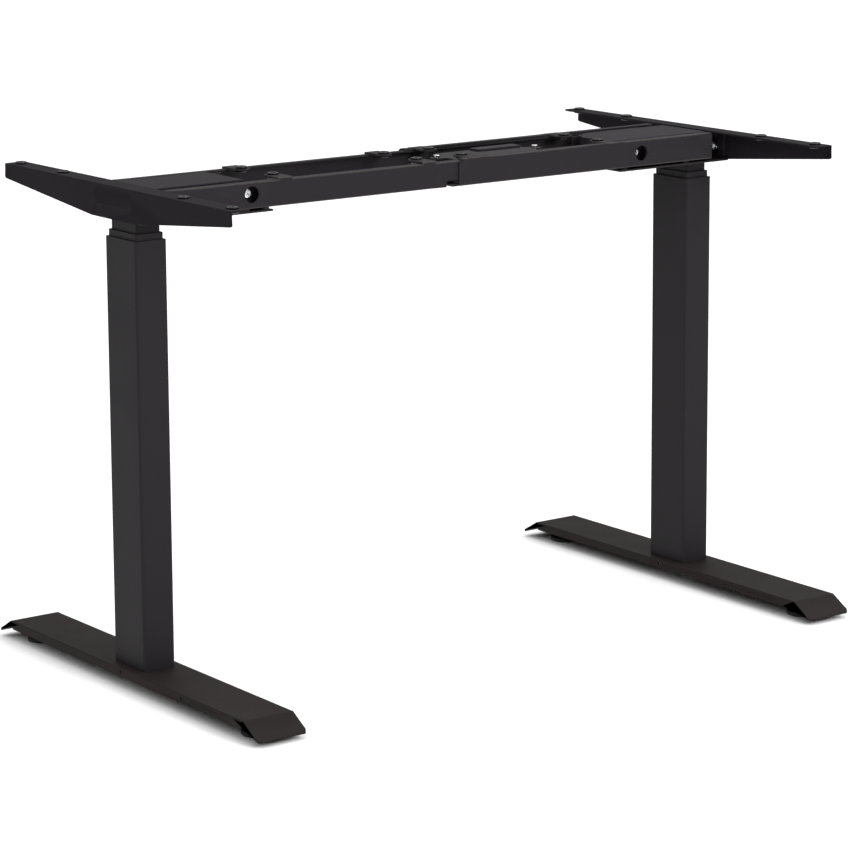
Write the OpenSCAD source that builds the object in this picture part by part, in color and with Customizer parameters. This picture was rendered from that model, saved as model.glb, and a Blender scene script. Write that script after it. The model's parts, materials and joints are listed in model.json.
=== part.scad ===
// Frame of a height adjustable standing desk: two feet, two three-stage lift columns,
// telescoping cross rails, side arms, a motor in each head and one control box.
// X runs along the desk, Y from its front (-Y) to its back (+Y), Z up.
// The origin is on the floor, midway between the two feet. The lift is shown fully down.

/* [Frame] */
// Height of the side arms' top face above the floor with the lift down
frame_h = 706; // [690:1:860]
// Distance between the two column axes with the rails pushed together
column_distance = 978; // [950:1:1200]
// Height of the head zone, from the tray's underside to the arms' top face
head_h = 46; // [46:1:56]

/* [Feet] */
// Overall length of a foot, front to back
foot_len = 690; // [560:1:820]
// Width of a foot
foot_w = 80; // [80:1:110]
// Height of a foot's top face above the floor
foot_top = 30; // [30:0.5:40]
// Sheet thickness of a foot
foot_sheet = 2.5; // [2:0.5:4]
// Height of a foot's long side walls
foot_wall_h = 12.5; // [10:0.5:14]
// Length of the sloping flap at each end of a foot, seen from above
flap_run = 36; // [30:1:50]
// Drop of each flap from the foot's top face
flap_drop = 21; // [16:0.5:22]
// Distance of each levelling glide's axis from the end of the foot
glide_inset = 60; // [50:1:90]
// Diameter of a glide's pad
glide_d = 46; // [36:1:56]
// Diameter of a glide's threaded stud
stud_d = 10; // [8:1:12]

/* [Columns] */
// Outer tube, size along X
outer_x = 50; // [50:1:64]
// Outer tube, size along Y
outer_y = 80; // [80:1:100]
// Wall thickness of the three column tubes
tube_wall = 2; // [1.5:0.25:2]
// Gap between one tube's inside and the next tube's outside
tube_gap = 1; // [0.8:0.1:1.4]
// Outer corner radius of the tubes
tube_corner = 4; // [3:0.5:6]
// Length of the middle tube that shows above the outer tube with the lift down
middle_show = 9.5; // [6:0.5:20]
// Length of the inner tube that shows above the middle tube with the lift down
inner_show = 18; // [12:0.5:30]
// Height of each plastic guide ring
guide_h = 40; // [25:1:60]

/* [Spindles] */
// Travel of each of a column's two stages
stage_stroke = 290; // [200:1:290]
// Diameter of the solid lead screw
lead_d = 12; // [10:0.5:12]
// Outer diameter of the hollow screw
hollow_d = 18; // [17:0.5:18]
// Bore of the hollow screw
hollow_bore = 13.4; // [13:0.1:14]
// Outer diameter of the base post
base_post_d = 26; // [25:0.5:26]
// Outer diameter of the middle post
middle_post_d = 32; // [31:0.5:33]
// Wall of both posts
post_wall = 2; // [1.5:0.25:2]

/* [Side arms] */
// Length of a side arm
arm_len = 590; // [480:1:720]
// Width of an arm's top flange
arm_flange = 31; // [28:1:33]
// Height of an arm's web at its two ends
arm_end_h = 21; // [16:1:28]
// Length of the full-height middle of an arm's web
arm_mid_len = 110; // [110:1:160]
// Sheet thickness of the arms
arm_sheet = 2.5; // [2:0.5:3]
// Distance of an arm's outer face from its column's axis
arm_offset = 36; // [36:1:42]
// Distance between an arm's two inner desktop holes
arm_inner_pitch = 314; // [260:1:360]
// Distance between an arm's two outer desktop holes
arm_outer_pitch = 550; // [400:1:556]

/* [Rails] */
// Distance over the outer faces of the right-hand rails, front to back
box_depth = 150; // [150:1:180]
// Sheet thickness of the rails
rail_sheet = 2.2; // [1.8:0.1:2.4]
// Width of the rails' bottom flange
rail_flange = 18; // [16:1:20]
// Width of the rails' top lip
rail_lip = 13; // [10:1:14]
// Distance from the frame's middle to the right-hand rails' end
right_rail_end = 7; // [4:1:20]
// Length by which a right-hand rail's bottom flange stands out past its web
toe_len = 13; // [8:1:14]
// Gap that is left between the two pairs of rails
rail_slack = 8; // [7:1:20]
// Length of the tongue that each left-hand rail pushes into its partner
tongue_len = 468; // [440:1:474]
// Height cut away under each tongue
tongue_lift = 9.4; // [9:0.1:10]
// Diameter of the round access holes in the rails
access_d = 23; // [20:1:25]
// Distance of the access holes and motor bolts from the column axis
access_x = 143; // [138:1:150]

/* [Rail tabs and grommets] */
// Width of a desktop tab
tab_w = 24; // [22:1:28]
// Distance of the tab holes from the frame's front-to-back centre plane
tab_y = 40; // [36:1:44]
// Distance of the outer tabs from the column axis
tab_outer = 199; // [195:1:230]
// Distance of the inner tabs from the end of their rail
tab_inner = 30; // [24:1:50]
// Diameter of a grommet's rims
grommet_d = 17; // [15:0.5:18]
// Height of each of a grommet's two rims
grommet_rim = 3; // [2:0.5:3]
// Diameter of the holes that the grommets sit in
grommet_hole = 12; // [10:0.5:13]
// Bore of a grommet
grommet_bore = 6.5; // [5:0.5:7]

/* [Heads] */
// Sheet thickness of the trays
tray_sheet = 2.5; // [2:0.5:2.5]
// Length of a tray past its column's axis, towards the frame's middle
tray_reach = 180; // [176:1:200]
// Width of a tray, front to back
tray_w = 140; // [132:1:140]
// Size of a gearbox along X
gearbox_x = 54; // [46:1:58]
// Size of a gearbox along Y
gearbox_y = 60; // [50:1:70]
// Diameter of a motor
motor_d = 36; // [30:1:36]
// Length of a motor's can
motor_len = 112; // [100:1:112]
// Width of a motor cover, front to back
cover_w = 100; // [90:1:100]
// Wall thickness of a motor cover
cover_wall = 1.5; // [1:0.25:2]

/* [Control box] */
// Length of the control box
control_len = 160; // [150:1:200]
// Width of the control box, front to back
control_w = 76; // [60:1:80]
// Height of the control box
control_h = 28; // [24:1:29]
// Distance from the frame's middle to the control box
control_start = 32; // [32:1:40]

/* [Hidden] */

$fn = 48;
LEFT = -1;
RIGHT = 1;
FRONT = -1;
REAR = 1;

powder = [0.16, 0.16, 0.17];
satin = [0.20, 0.19, 0.19];
rubber = [0.06, 0.06, 0.06];
gloss = [0.09, 0.09, 0.10];
nylon = [0.85, 0.84, 0.80];
steel = [0.66, 0.67, 0.69];
zinc = [0.78, 0.79, 0.80];
alloy = [0.60, 0.61, 0.62];

skin = 0.1;             // overlap that fuses two shapes of one piece
past = 1;               // length by which a cutting shape runs past what it cuts
thread_fit = 0.2;       // a threaded hole is this much wider than its screw
slide_fit = 0.15;       // play between a guide ring and the tube that slides on it
turn_fit = 0.3;         // play round what turns or screws
hole_fit = 0.5;         // play round a bolt in its hole
sheet_fit = 0.3;        // play between a tongue and the rail round it

axis_x = column_distance / 2;

// Heights of the head
tray_z = frame_h - head_h;
tray_top = tray_z + tray_sheet;
pad_h = 4;
lip_step = 0.5;         // the rails' top lies this far under the arms' top face
rail_z = tray_top + pad_h;
rail_top = frame_h - lip_step;
rail_h = rail_top - rail_z;
left_rail_top = rail_top - rail_sheet - sheet_fit;
tab_z = frame_h - arm_sheet;
grommet_z = frame_h + grommet_rim;
grommet_edge = 1;       // chamfer of a grommet's top rim

// Tubes: each stage is smaller by one wall and one gap all round
stage_step = 2 * (tube_wall + tube_gap);
middle_x = outer_x - stage_step;
middle_y = outer_y - stage_step;
inner_x = middle_x - stage_step;
inner_y = middle_y - stage_step;
outer_top = tray_z - inner_show - middle_show;
middle_top = tray_z - inner_show;
base_plate_h = 10;
stage_floor = 6;        // room left under each stage with the lift down
pad_floor = 12;         // the same for the inner tube, over the plate it stands above
middle_plate_h = 4;
middle_bottom = foot_top + base_plate_h + stage_floor;
inner_bottom = middle_bottom + middle_plate_h + pad_floor;
guide_drop = 6;         // the lower guide rings start this far above their tube's end
guide_low_h = 30;

// Feet and glides
foot_corner = 8;
flap_gap = 4;           // slot between a side wall's end and the flap
vent_d = 4;
vent_drop = 6;
vent_pitch = 157;
glide_pad_h = 6;
glide_edge = 1;         // chamfer of the pad
glide_nut_d = 19;
glide_nut_h = 5;
glide_boss_d = 20;
glide_boss_h = 14;
gearbox_corner = 5;
control_corner = 5;

// Spindle train, from the gearbox down
nut_h = 16;
nut_play = 0.5;         // play round a nut or flange inside a post
nut_d = middle_post_d - 2 * post_wall - 2 * nut_play;
spindle_head = 88;      // room over the middle post for its nut and the tray's thrust bearing
middle_post_top = tray_z - spindle_head;
ledge_h = 6;
flange_h = 5;
hollow_top = middle_post_top - turn_fit;
ledge_top = hollow_top - flange_h - turn_fit;
ledge_gap = 4;
base_nut_top = ledge_top - ledge_h - ledge_gap;
base_post_top = base_nut_top - nut_h;
hollow_hold = 30;       // length of hollow screw still in its nut with the lift up
lead_hold = 40;         // the same for the lead screw
hollow_bottom = base_post_top - stage_stroke - hollow_hold;
cap_h = 18;
cap_d = 30;
lead_bottom = middle_post_top - stage_stroke - lead_hold;
collar_h = 14;
collar_d = hollow_bore - 2 * turn_fit;
thrust_d = 22;
thrust_h = 12;
thrust_gap = 1;

// Fasteners
bolt_d = 8;
bolt_head_d = 13;
bolt_head_h = 6;
small_bolt_d = 6;
small_head_d = 10;
small_head_h = 4;
socket_af = 0.5;        // a socket's width as a share of its head
socket_deep = 0.6;      // a socket's depth as a share of its head
foot_bolt_in_x = 9;     // foot bolts, from the tube's inside
foot_bolt_in_y = 11;
foot_bolt_x = outer_x / 2 - tube_wall - foot_bolt_in_x;
foot_bolt_y = outer_y / 2 - tube_wall - foot_bolt_in_y;
arm_bolt_y = 45;
arm_bolt_drop = 26;
web_end_r = 4;          // roundings of a side arm's outlines
web_mid_r = 12;
flange_r = 5;
arm_bolt_z = frame_h - arm_bolt_drop;
motor_drop = 4;         // the motor's axis lies this far under its bolts
motor_bolt_z = rail_z + rail_h / 2;
motor_z = motor_bolt_z - motor_drop;
pad_d = 14;
pad_end = 4;
pad_near = 49;
pad_far = tray_reach - pad_d / 2 - pad_end;

// Rails, in the frame's own X
rail_end_gap = 4;
rail_far = axis_x - rail_end_gap;
left_shoulder = right_rail_end - toe_len - rail_slack;
right_y = box_depth / 2;
left_y = right_y - rail_sheet - sheet_fit;
pad_in = 7.5;           // the tray's pads, from the inner edge of the rails' bottom flange
pad_y = left_y - rail_flange + pad_in;
pad_out = pad_y + pad_d / 2;
lock_in = 60;
lock_x = right_rail_end + lock_in;
lock_lug_w = 24;
lock_lug_h = 26;
lock_rise = 19;
lock_out = 6;           // a set screw stands this far out of its lug
lock_z = rail_z + lock_rise;
lock_y = right_y - rail_flange;
toe_lip_h = 6;
toe_lip_gap = 1;        // between the toe's lip and the near cross strap
far_corner_r = 3;
near_corner_r = 6;
tongue_corner_r = 6;
shoulder_r = 2;
lip_near = 6;           // the top lips stop this far short of the rails' ends
lip_far = 3;
tongue_hole_d = access_d + 1;

// Heads
end_plate_x = -(arm_offset - arm_sheet);
end_plate_w = 124;
end_plate_h = 40;
lug_w = 60;
lug_gap = 0.5;          // between a motor lug and the edge of the rail's flange
lug_y = left_y - rail_flange - tray_sheet - lug_gap;
lug_h = 38;
bar_fit = 2;            // between the motor's cross bar and a lug
bar_len = 2 * (lug_y - bar_fit);
bar_t = 16;
motor_bolt_len = 20;
motor_head_h = 8;
gearbox_rise = 37.5;
gearbox_top = tray_top + gearbox_rise;
gear_boss_d = 7;
gear_boss_h = 2;
gear_boss_in = gearbox_corner + 1;
cover_drop = 1.5;
cover_top = frame_h - cover_drop;
arm_gap = 2;            // between a cover and the arm's flange
cover_start = arm_flange - arm_offset + arm_gap;
nose_over = 4;          // the right-hand cover's nose stands this far past its tray
nose_r = 45;            // rounding of the nose at the rear
nose_front_r = 12;      // and at the front
square_end = 3;         // the left-hand cover ends this far past the motor bolts
square_r = 3;

// Control box
strap_w = 26;
strap_z = rail_z + rail_sheet;
strap_t = 2;
control_z = strap_z + strap_t;
control_end = control_start + control_len;
control_top = control_z + control_h;
ear_len = 20;
ear_w = 20;
ear_t = 3;
strap_near = control_start - ear_len / 2;
strap_far = control_end + ear_len / 2;
standoff_d = 12;
standoff_bore = 14;
strap_fit = 1;
strap_screw_in = 7;
strap_y = right_y - rail_sheet - strap_fit;
strap_screw_y = right_y - rail_flange + strap_screw_in;
bar_in = 76;
bar_x = control_start + bar_in;
bar_len_x = 80;
bar_y = 14;
bar_w = 22;
bar_h = 3.5;
jack_count = 4;         // two motors, the handset and the mains inlet
jack_w = 13;
jack_h = 9;
jack_depth = 9;
jack_rise = 8;
jack_pitch = 17;

// ---------- shared shapes ----------

module at_side(side) {
    translate([side * axis_x, 0, 0])
        mirror([side == RIGHT ? 1 : 0, 0, 0])
            children();
}

module round_rect(x, y, r) {
    square([x - 2 * r, y], center = true);
    square([x, y - 2 * r], center = true);
    for (i = [-1, 1], j = [-1, 1])
        translate([i * (x / 2 - r), j * (y / 2 - r)])
            circle(r);
}

module box(x0, x1, y0, y1, z0, z1) {
    translate([x0, y0, z0])
        cube([x1 - x0, y1 - y0, z1 - z0]);
}

module ring_prism(x_out, y_out, r_out, x_in, y_in, r_in, z0, z1) {
    translate([0, 0, z0])
        linear_extrude(z1 - z0)
            difference() {
                round_rect(x_out, y_out, r_out);
                round_rect(x_in, y_in, r_in);
            }
}

module column_tube(x, y, z0, z1) {
    ring_prism(x, y, tube_corner, x - 2 * tube_wall, y - 2 * tube_wall,
        tube_corner - tube_wall, z0, z1);
}

module pipe(d_out, d_in, z0, z1) {
    translate([0, 0, z0])
        difference() {
            cylinder(d = d_out, h = z1 - z0);
            translate([0, 0, -past])
                cylinder(d = d_in, h = z1 - z0 + 2 * past);
        }
}

module rod(d, z0, z1) {
    translate([0, 0, z0])
        cylinder(d = d, h = z1 - z0);
}

// Socket head bolt along +Z: its head stands below z = 0, its shank above
module socket_bolt(d, head_d, head_h, shank) {
    difference() {
        translate([0, 0, -head_h])
            cylinder(d = head_d, h = head_h);
        translate([0, 0, -head_h - past])
            cylinder(d = head_d * socket_af, h = head_h * socket_deep + past, $fn = 6);
    }
    translate([0, 0, -skin])
        cylinder(d = d, h = shank + skin);
}

function unit(v) = v / norm(v);

// Points of the arc that rounds corner b between its neighbours a and c
function corner_arc(a, b, c, r, steps = 6) =
    let (u = unit(a - b), v = unit(c - b), half = acos(u * v) / 2,
        centre = b + unit(u + v) * r / sin(half),
        from = b + u * r / tan(half) - centre, to = b + v * r / tan(half) - centre,
        start = atan2(from.y, from.x), turn = atan2(to.y, to.x) - start,
        sweep = turn > 180 ? turn - 360 : turn < -180 ? turn + 360 : turn)
    [for (i = [0 : steps]) centre + r * [cos(start + sweep * i / steps), sin(start + sweep * i / steps)]];

// An outline whose corners are rounded by the radii given, 0 for a sharp one
function rounded(points, radii) =
    let (n = len(points))
    [for (i = [0 : n - 1]) each radii[i] > 0
        ? corner_arc(points[(i + n - 1) % n], points[i], points[(i + 1) % n], radii[i])
        : [points[i]]];

// ---------- base of each column ----------

module foot() {
    half = foot_len / 2;
    bend = half - flap_run;
    slope = norm([flap_run, flap_drop]);
    inner_bend = foot_sheet * ((slope - flap_run) / flap_drop * flap_run - flap_drop) / slope;
    boss_h = foot_sheet + glide_boss_h;
    color(satin)
        difference() {
            intersection() {
                union() {
                    box(-foot_w / 2, foot_w / 2, -bend, bend, foot_top - foot_sheet, foot_top);
                    for (i = [-1, 1])
                        translate([i * (foot_w - foot_sheet) / 2, 0, foot_top - foot_wall_h])
                            translate([-foot_sheet / 2, -bend + flap_gap, 0])
                                cube([foot_sheet, 2 * (bend - flap_gap), foot_wall_h]);
                    for (end = [FRONT, REAR]) {
                        mirror([0, end == REAR ? 0 : 1, 0])
                            translate([-foot_w / 2, 0, 0])
                                rotate([90, 0, 90])
                                    linear_extrude(foot_w)
                                        polygon([
                                            [bend - past, foot_top],
                                            [bend, foot_top],
                                            [half, foot_top - flap_drop],
                                            [half - foot_sheet * flap_drop / slope,
                                                foot_top - flap_drop - foot_sheet * flap_run / slope],
                                            [bend + inner_bend, foot_top - foot_sheet],
                                            [bend - past, foot_top - foot_sheet]]);
                        translate([0, end * (half - glide_inset), foot_top - boss_h])
                            cylinder(d = glide_boss_d, h = boss_h);
                    }
                }
                linear_extrude(foot_top)
                    round_rect(foot_w, foot_len, foot_corner);
            }
            for (x = [-1, 1], y = [-1, 1])
                translate([x * foot_bolt_x, y * foot_bolt_y, foot_top - 2 * foot_sheet])
                    cylinder(d = bolt_d + hole_fit, h = 3 * foot_sheet);
            for (end = [FRONT, REAR])
                translate([0, end * (half - glide_inset), foot_top - boss_h - past])
                    cylinder(d = stud_d + 2 * turn_fit, h = boss_h + past - foot_sheet / 2);
            for (y = [0, -vent_pitch])
                translate([0, y, foot_top - vent_drop])
                    rotate([0, 90, 0])
                        cylinder(d = vent_d, h = foot_w + 2 * past, center = true);
        }
}

module glide(end) {
    translate([0, end * (foot_len / 2 - glide_inset), 0]) {
        color(rubber) {
            cylinder(d1 = glide_d - 2 * glide_edge, d2 = glide_d, h = glide_edge);
            translate([0, 0, glide_edge])
                cylinder(d = glide_d, h = glide_pad_h - 2 * glide_edge);
            translate([0, 0, glide_pad_h - glide_edge])
                cylinder(d1 = glide_d, d2 = glide_d - 4 * glide_edge, h = glide_edge);
            rod(stud_d, glide_pad_h - glide_edge, foot_top - foot_sheet);
        }
        color(zinc)
            difference() {
                translate([0, 0, glide_pad_h])
                    cylinder(d = glide_nut_d, h = glide_nut_h, $fn = 6);
                rod(stud_d, glide_pad_h - past, foot_top);
            }
    }
}

module outer_tube() {
    color(powder)
        column_tube(outer_x, outer_y, foot_top, outer_top);
}

module outer_guide() {
    color(rubber)
        ring_prism(outer_x - 2 * tube_wall, outer_y - 2 * tube_wall, tube_corner - tube_wall,
            middle_x + 2 * slide_fit, middle_y + 2 * slide_fit, tube_corner,
            outer_top - guide_h, outer_top);
}

module base_post() {
    color(steel) {
        difference() {
            translate([0, 0, foot_top])
                linear_extrude(base_plate_h)
                    round_rect(outer_x - 2 * tube_wall, outer_y - 2 * tube_wall, tube_corner - tube_wall);
            for (x = [-1, 1], y = [-1, 1])
                translate([x * foot_bolt_x, y * foot_bolt_y, foot_top - past])
                    cylinder(d = bolt_d + thread_fit, h = base_plate_h + 2 * past);
        }
        pipe(base_post_d, base_post_d - 2 * post_wall, foot_top + base_plate_h - skin, base_post_top);
    }
}

module base_nut() {
    color(nylon)
        pipe(nut_d, hollow_d + 2 * turn_fit, base_post_top, base_nut_top);
}

module foot_bolts() {
    color(zinc)
        for (x = [-1, 1], y = [-1, 1])
            translate([x * foot_bolt_x, y * foot_bolt_y, foot_top - foot_sheet])
                socket_bolt(bolt_d, bolt_head_d, bolt_head_h, foot_sheet + base_plate_h);
}

// ---------- middle stage of each column ----------

module middle_tube() {
    color(powder)
        column_tube(middle_x, middle_y, middle_bottom, middle_top);
}

module middle_guides() {
    color(rubber) {
        ring_prism(outer_x - 2 * tube_wall - 2 * slide_fit, outer_y - 2 * tube_wall - 2 * slide_fit,
            tube_corner, middle_x, middle_y, tube_corner,
            middle_bottom + guide_drop, middle_bottom + guide_drop + guide_low_h);
        ring_prism(middle_x - 2 * tube_wall, middle_y - 2 * tube_wall, tube_corner - tube_wall,
            inner_x + 2 * slide_fit, inner_y + 2 * slide_fit, tube_corner,
            middle_top - guide_h, middle_top);
    }
}

module middle_post() {
    bore = middle_post_d - 2 * post_wall;
    color(steel) {
        difference() {
            translate([0, 0, middle_bottom])
                linear_extrude(middle_plate_h)
                    round_rect(middle_x - 2 * tube_wall, middle_y - 2 * tube_wall, tube_corner - tube_wall);
            rod(bore, middle_bottom - past, middle_bottom + middle_plate_h + past);
        }
        pipe(middle_post_d, bore, middle_bottom, middle_post_top);
        pipe(bore + 2 * skin, hollow_d + 2 * turn_fit, ledge_top - ledge_h, ledge_top);
    }
}

module middle_nut() {
    color(nylon)
        pipe(cap_d, lead_d + 2 * turn_fit, middle_post_top, middle_post_top + cap_h);
}

module hollow_screw() {
    color(steel) {
        pipe(hollow_d, hollow_bore, hollow_bottom, hollow_top);
        pipe(nut_d - 2 * nut_play, hollow_bore, hollow_top - flange_h, hollow_top);
    }
}

// ---------- head of each column ----------

module inner_tube() {
    color(powder)
        column_tube(inner_x, inner_y, inner_bottom, tray_z);
}

module inner_guide() {
    color(rubber)
        ring_prism(middle_x - 2 * tube_wall - 2 * slide_fit, middle_y - 2 * tube_wall - 2 * slide_fit,
            tube_corner, inner_x, inner_y, tube_corner,
            inner_bottom + guide_drop, inner_bottom + guide_drop + guide_low_h);
}

module lead_screw() {
    color(steel) {
        rod(lead_d, lead_bottom, tray_top + 2 * thrust_h);
        rod(collar_d, lead_bottom, lead_bottom + collar_h);
        rod(thrust_d, tray_top + turn_fit, tray_top + thrust_h);
    }
}

module tray_plan() {
    translate([end_plate_x, -tray_w / 2])
        square([tray_reach - end_plate_x, tray_w]);
    for (x = [pad_near, pad_far])
        translate([x - pad_d / 2, -pad_out])
            square([pad_d, 2 * pad_out]);
}

module tray() {
    color(powder)
        difference() {
            union() {
                translate([0, 0, tray_z])
                    linear_extrude(tray_sheet)
                        tray_plan();
                box(end_plate_x, end_plate_x + tray_sheet, -end_plate_w / 2, end_plate_w / 2,
                    tray_z, tray_z + end_plate_h);
                for (side = [FRONT, REAR]) {
                    mirror([0, side == REAR ? 0 : 1, 0])
                        box(access_x - lug_w / 2, access_x + lug_w / 2, lug_y, lug_y + tray_sheet,
                            tray_z, tray_top + lug_h);
                    for (x = [pad_near, pad_far])
                        translate([x, side * pad_y, tray_z])
                            cylinder(d = pad_d, h = rail_z - tray_z);
                }
            }
            rod(lead_d + 2 * turn_fit, tray_z - past, tray_top + past);
            for (side = [FRONT, REAR]) {
                for (x = [pad_near, pad_far])
                    translate([x, side * pad_y, tray_z - past])
                        cylinder(d = small_bolt_d + thread_fit, h = rail_z - tray_z + 2 * past);
                translate([end_plate_x - past, side * arm_bolt_y, arm_bolt_z])
                    rotate([0, 90, 0])
                        cylinder(d = bolt_d + hole_fit, h = tray_sheet + 2 * past);
                translate([access_x, side * (lug_y + tray_sheet / 2), motor_bolt_z])
                    rotate([90, 0, 0])
                        cylinder(d = bolt_d + hole_fit, h = tray_sheet + 2 * past, center = true);
            }
        }
}

module gearbox() {
    color(alloy)
        difference() {
            union() {
                translate([0, 0, tray_top])
                    linear_extrude(gearbox_top - tray_top)
                        round_rect(gearbox_x, gearbox_y, gearbox_corner);
                for (x = [-1, 1], y = [-1, 1])
                    translate([x * (gearbox_x / 2 - gear_boss_in),
                        y * (gearbox_y / 2 - gear_boss_in), gearbox_top - skin])
                        cylinder(d = gear_boss_d, h = gear_boss_h + skin);
            }
            rod(thrust_d + 2 * turn_fit, tray_top - past, tray_top + thrust_h + thrust_gap);
            rod(lead_d + 2 * turn_fit, tray_top - past, tray_top + 2 * thrust_h + thrust_gap);
        }
}

module motor() {
    color(steel)
        difference() {
            union() {
                translate([gearbox_x / 2, 0, motor_z])
                    rotate([0, 90, 0])
                        cylinder(d = motor_d, h = motor_len);
                box(access_x - bar_t / 2, access_x + bar_t / 2, -bar_len / 2, bar_len / 2,
                    motor_bolt_z - bar_t / 2, motor_bolt_z + bar_t / 2);
            }
            for (side = [FRONT, REAR])
                translate([access_x, side * bar_len / 2, motor_bolt_z])
                    rotate([side * 90, 0, 0])
                        cylinder(d = bolt_d + thread_fit, h = motor_bolt_len + 2 * past);
        }
}

module motor_bolts() {
    color(zinc)
        for (side = [FRONT, REAR])
            translate([access_x, side * (lug_y + tray_sheet), motor_bolt_z])
                rotate([side * 90, 0, 0])
                    socket_bolt(bolt_d, bolt_head_d, motor_head_h, motor_bolt_len);
}

// A cover's outline, smaller by inset all round: the left-hand one ends square, the other in a nose
module cover_plan(start, end, rear_r, front_r, inset) {
    half = cover_w / 2 - inset;
    far = end - inset;
    rear = rear_r - inset;
    front = front_r - inset;
    translate([start, -half])
        square([far - rear - start, 2 * half]);
    translate([start, front - half])
        square([far - start, 2 * half - rear - front]);
    translate([far - rear - past, -half])
        square([rear + past - front, half]);
    translate([far - rear, half - rear])
        circle(rear);
    translate([far - front, front - half])
        circle(front);
}

module left_motor_cover() {
    motor_cover(access_x + square_end, square_r, square_r);
}

module right_motor_cover() {
    motor_cover(tray_reach + nose_over, nose_r, nose_front_r);
}

module motor_cover(end, rear_r, front_r) {
    color(gloss)
        difference() {
            translate([0, 0, tray_top])
                linear_extrude(cover_top - tray_top)
                    cover_plan(cover_start, end, rear_r, front_r, 0);
            translate([0, 0, tray_top - past])
                linear_extrude(cover_top - cover_wall - tray_top + past)
                    cover_plan(cover_start - past, end, rear_r, front_r, cover_wall);
            box(access_x - bar_t / 2 - past, access_x + bar_t / 2 + past, -cover_w, cover_w,
                tray_top - past, motor_bolt_z + bar_t / 2 + past);
        }
}

module arm() {
    outer = -arm_offset;
    hole_x = outer + arm_flange / 2;
    end_y = arm_len / 2;
    mid_y = arm_mid_len / 2;
    end_z = frame_h - arm_end_h;
    color(powder)
        difference() {
            union() {
                translate([outer, 0, 0])
                    rotate([90, 0, 90])
                        linear_extrude(arm_sheet)
                            polygon(rounded([
                                [-end_y, frame_h], [-end_y, end_z], [-mid_y, tray_z],
                                [mid_y, tray_z], [end_y, end_z], [end_y, frame_h]],
                                [0, web_end_r, web_mid_r, web_mid_r, web_end_r, 0]));
                translate([0, 0, tab_z])
                    linear_extrude(arm_sheet)
                        polygon(rounded([
                            [outer, -end_y], [outer + arm_flange, -end_y],
                            [outer + arm_flange, end_y], [outer, end_y]],
                            [0, flange_r, flange_r, 0]));
            }
            for (side = [FRONT, REAR]) {
                for (pitch = [arm_inner_pitch, arm_outer_pitch])
                    translate([hole_x, side * pitch / 2, tab_z - past])
                        cylinder(d = grommet_hole, h = arm_sheet + 2 * past);
                translate([outer - past, side * arm_bolt_y, arm_bolt_z])
                    rotate([0, 90, 0])
                        cylinder(d = bolt_d + thread_fit, h = arm_sheet + 2 * past);
            }
        }
}

module arm_bolts() {
    color(zinc)
        for (side = [FRONT, REAR])
            translate([end_plate_x + tray_sheet, side * arm_bolt_y, arm_bolt_z])
                rotate([0, -90, 0])
                    socket_bolt(bolt_d, bolt_head_d, bolt_head_h, tray_sheet + arm_sheet);
}

// A grooved rubber grommet, seated in a hole of the sheet under frame_h
module grommet() {
    color(rubber)
        difference() {
            union() {
                translate([0, 0, frame_h])
                    cylinder(d = grommet_d, h = grommet_rim - grommet_edge);
                translate([0, 0, grommet_z - grommet_edge])
                    cylinder(d1 = grommet_d, d2 = grommet_d - 2 * grommet_edge, h = grommet_edge);
                translate([0, 0, tab_z - skin])
                    cylinder(d = grommet_hole - 2 * skin, h = arm_sheet + 2 * skin);
                translate([0, 0, tab_z - grommet_rim])
                    cylinder(d = grommet_d, h = grommet_rim);
            }
            translate([0, 0, tab_z - grommet_rim - past])
                cylinder(d = grommet_bore, h = grommet_z - tab_z + grommet_rim + 2 * past);
        }
}

module arm_grommets() {
    for (side = [FRONT, REAR], pitch = [arm_inner_pitch, arm_outer_pitch])
        translate([-arm_offset + arm_flange / 2, side * pitch / 2, 0])
            grommet();
}

module rail_bolts() {
    color(zinc)
        for (side = [FRONT, REAR], x = [pad_near, pad_far])
            translate([x, side * pad_y, rail_z + rail_sheet])
                rotate([180, 0, 0])
                    socket_bolt(small_bolt_d, small_head_d, small_head_h, rail_z + rail_sheet - tray_z);
}

// ---------- cross rails, in the frame's own X; drawn for the rear, mirrored to the front ----------

module to_side(side) {
    mirror([0, side == REAR ? 0 : 1, 0])
        children();
}

// A web standing in the XZ plane, its outer face at y_out
module web(y_out, outline, radii) {
    translate([0, y_out, 0])
        rotate([90, 0, 0])
            linear_extrude(rail_sheet)
                polygon(rounded(outline, radii));
}

module tab(x, y_out, lip_top) {
    box(x - tab_w / 2, x + tab_w / 2, y_out - rail_lip, y_out, lip_top - rail_sheet, frame_h);
    box(x - tab_w / 2, x + tab_w / 2, tab_y, y_out, tab_z, frame_h);
    translate([x, tab_y, 0])
        rod(tab_w, tab_z, frame_h);
}

module tab_hole(x) {
    translate([x, tab_y, 0])
        rod(grommet_hole, tab_z - past, frame_h + past);
}

module access_hole(x, y_out, d) {
    translate([x, y_out + past, motor_bolt_z])
        rotate([90, 0, 0])
            cylinder(d = d, h = rail_sheet + 2 * past);
}

module flange_bolt_holes(side_x) {
    for (x = [pad_near, pad_far])
        translate([side_x * (axis_x - x), pad_y, 0])
            rod(small_bolt_d + hole_fit, rail_z - past, rail_z + rail_sheet + past);
}

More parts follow.
